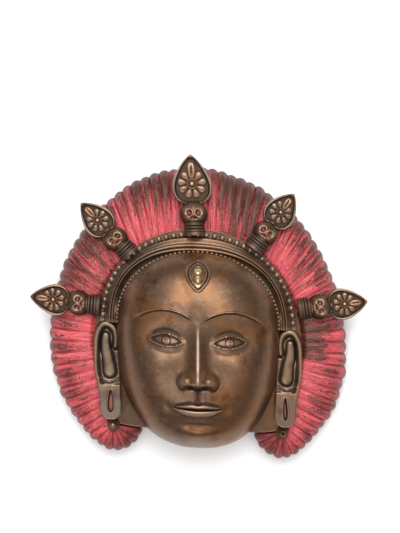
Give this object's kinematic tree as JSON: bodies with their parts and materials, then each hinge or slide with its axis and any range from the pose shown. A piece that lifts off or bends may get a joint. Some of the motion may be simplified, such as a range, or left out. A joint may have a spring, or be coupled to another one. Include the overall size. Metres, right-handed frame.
{
  "type": "ritual mask",
  "caption": "Hollow cast bronze ritual mask: a calm face framed by a beaded band, a crown of small skulls and leaf finials, long ears and a fan of pleated hair with worn red paint.",
  "frame": {"origin": "middle of the bounding box, on the plane of the back rim that the mask lies on", "axes": "+X across the face, to the right as one looks at it; +Y up the face, to the crown; +Z out of the face"},
  "size_m": [0.3176, 0.289, 0.0949],
  "materials": {
    "bronze": "brown patina, rubbed bright on the high places"
  },
  "bodies": {
    "root": {"mask": "bronze"}
  },
  "joints": []
}
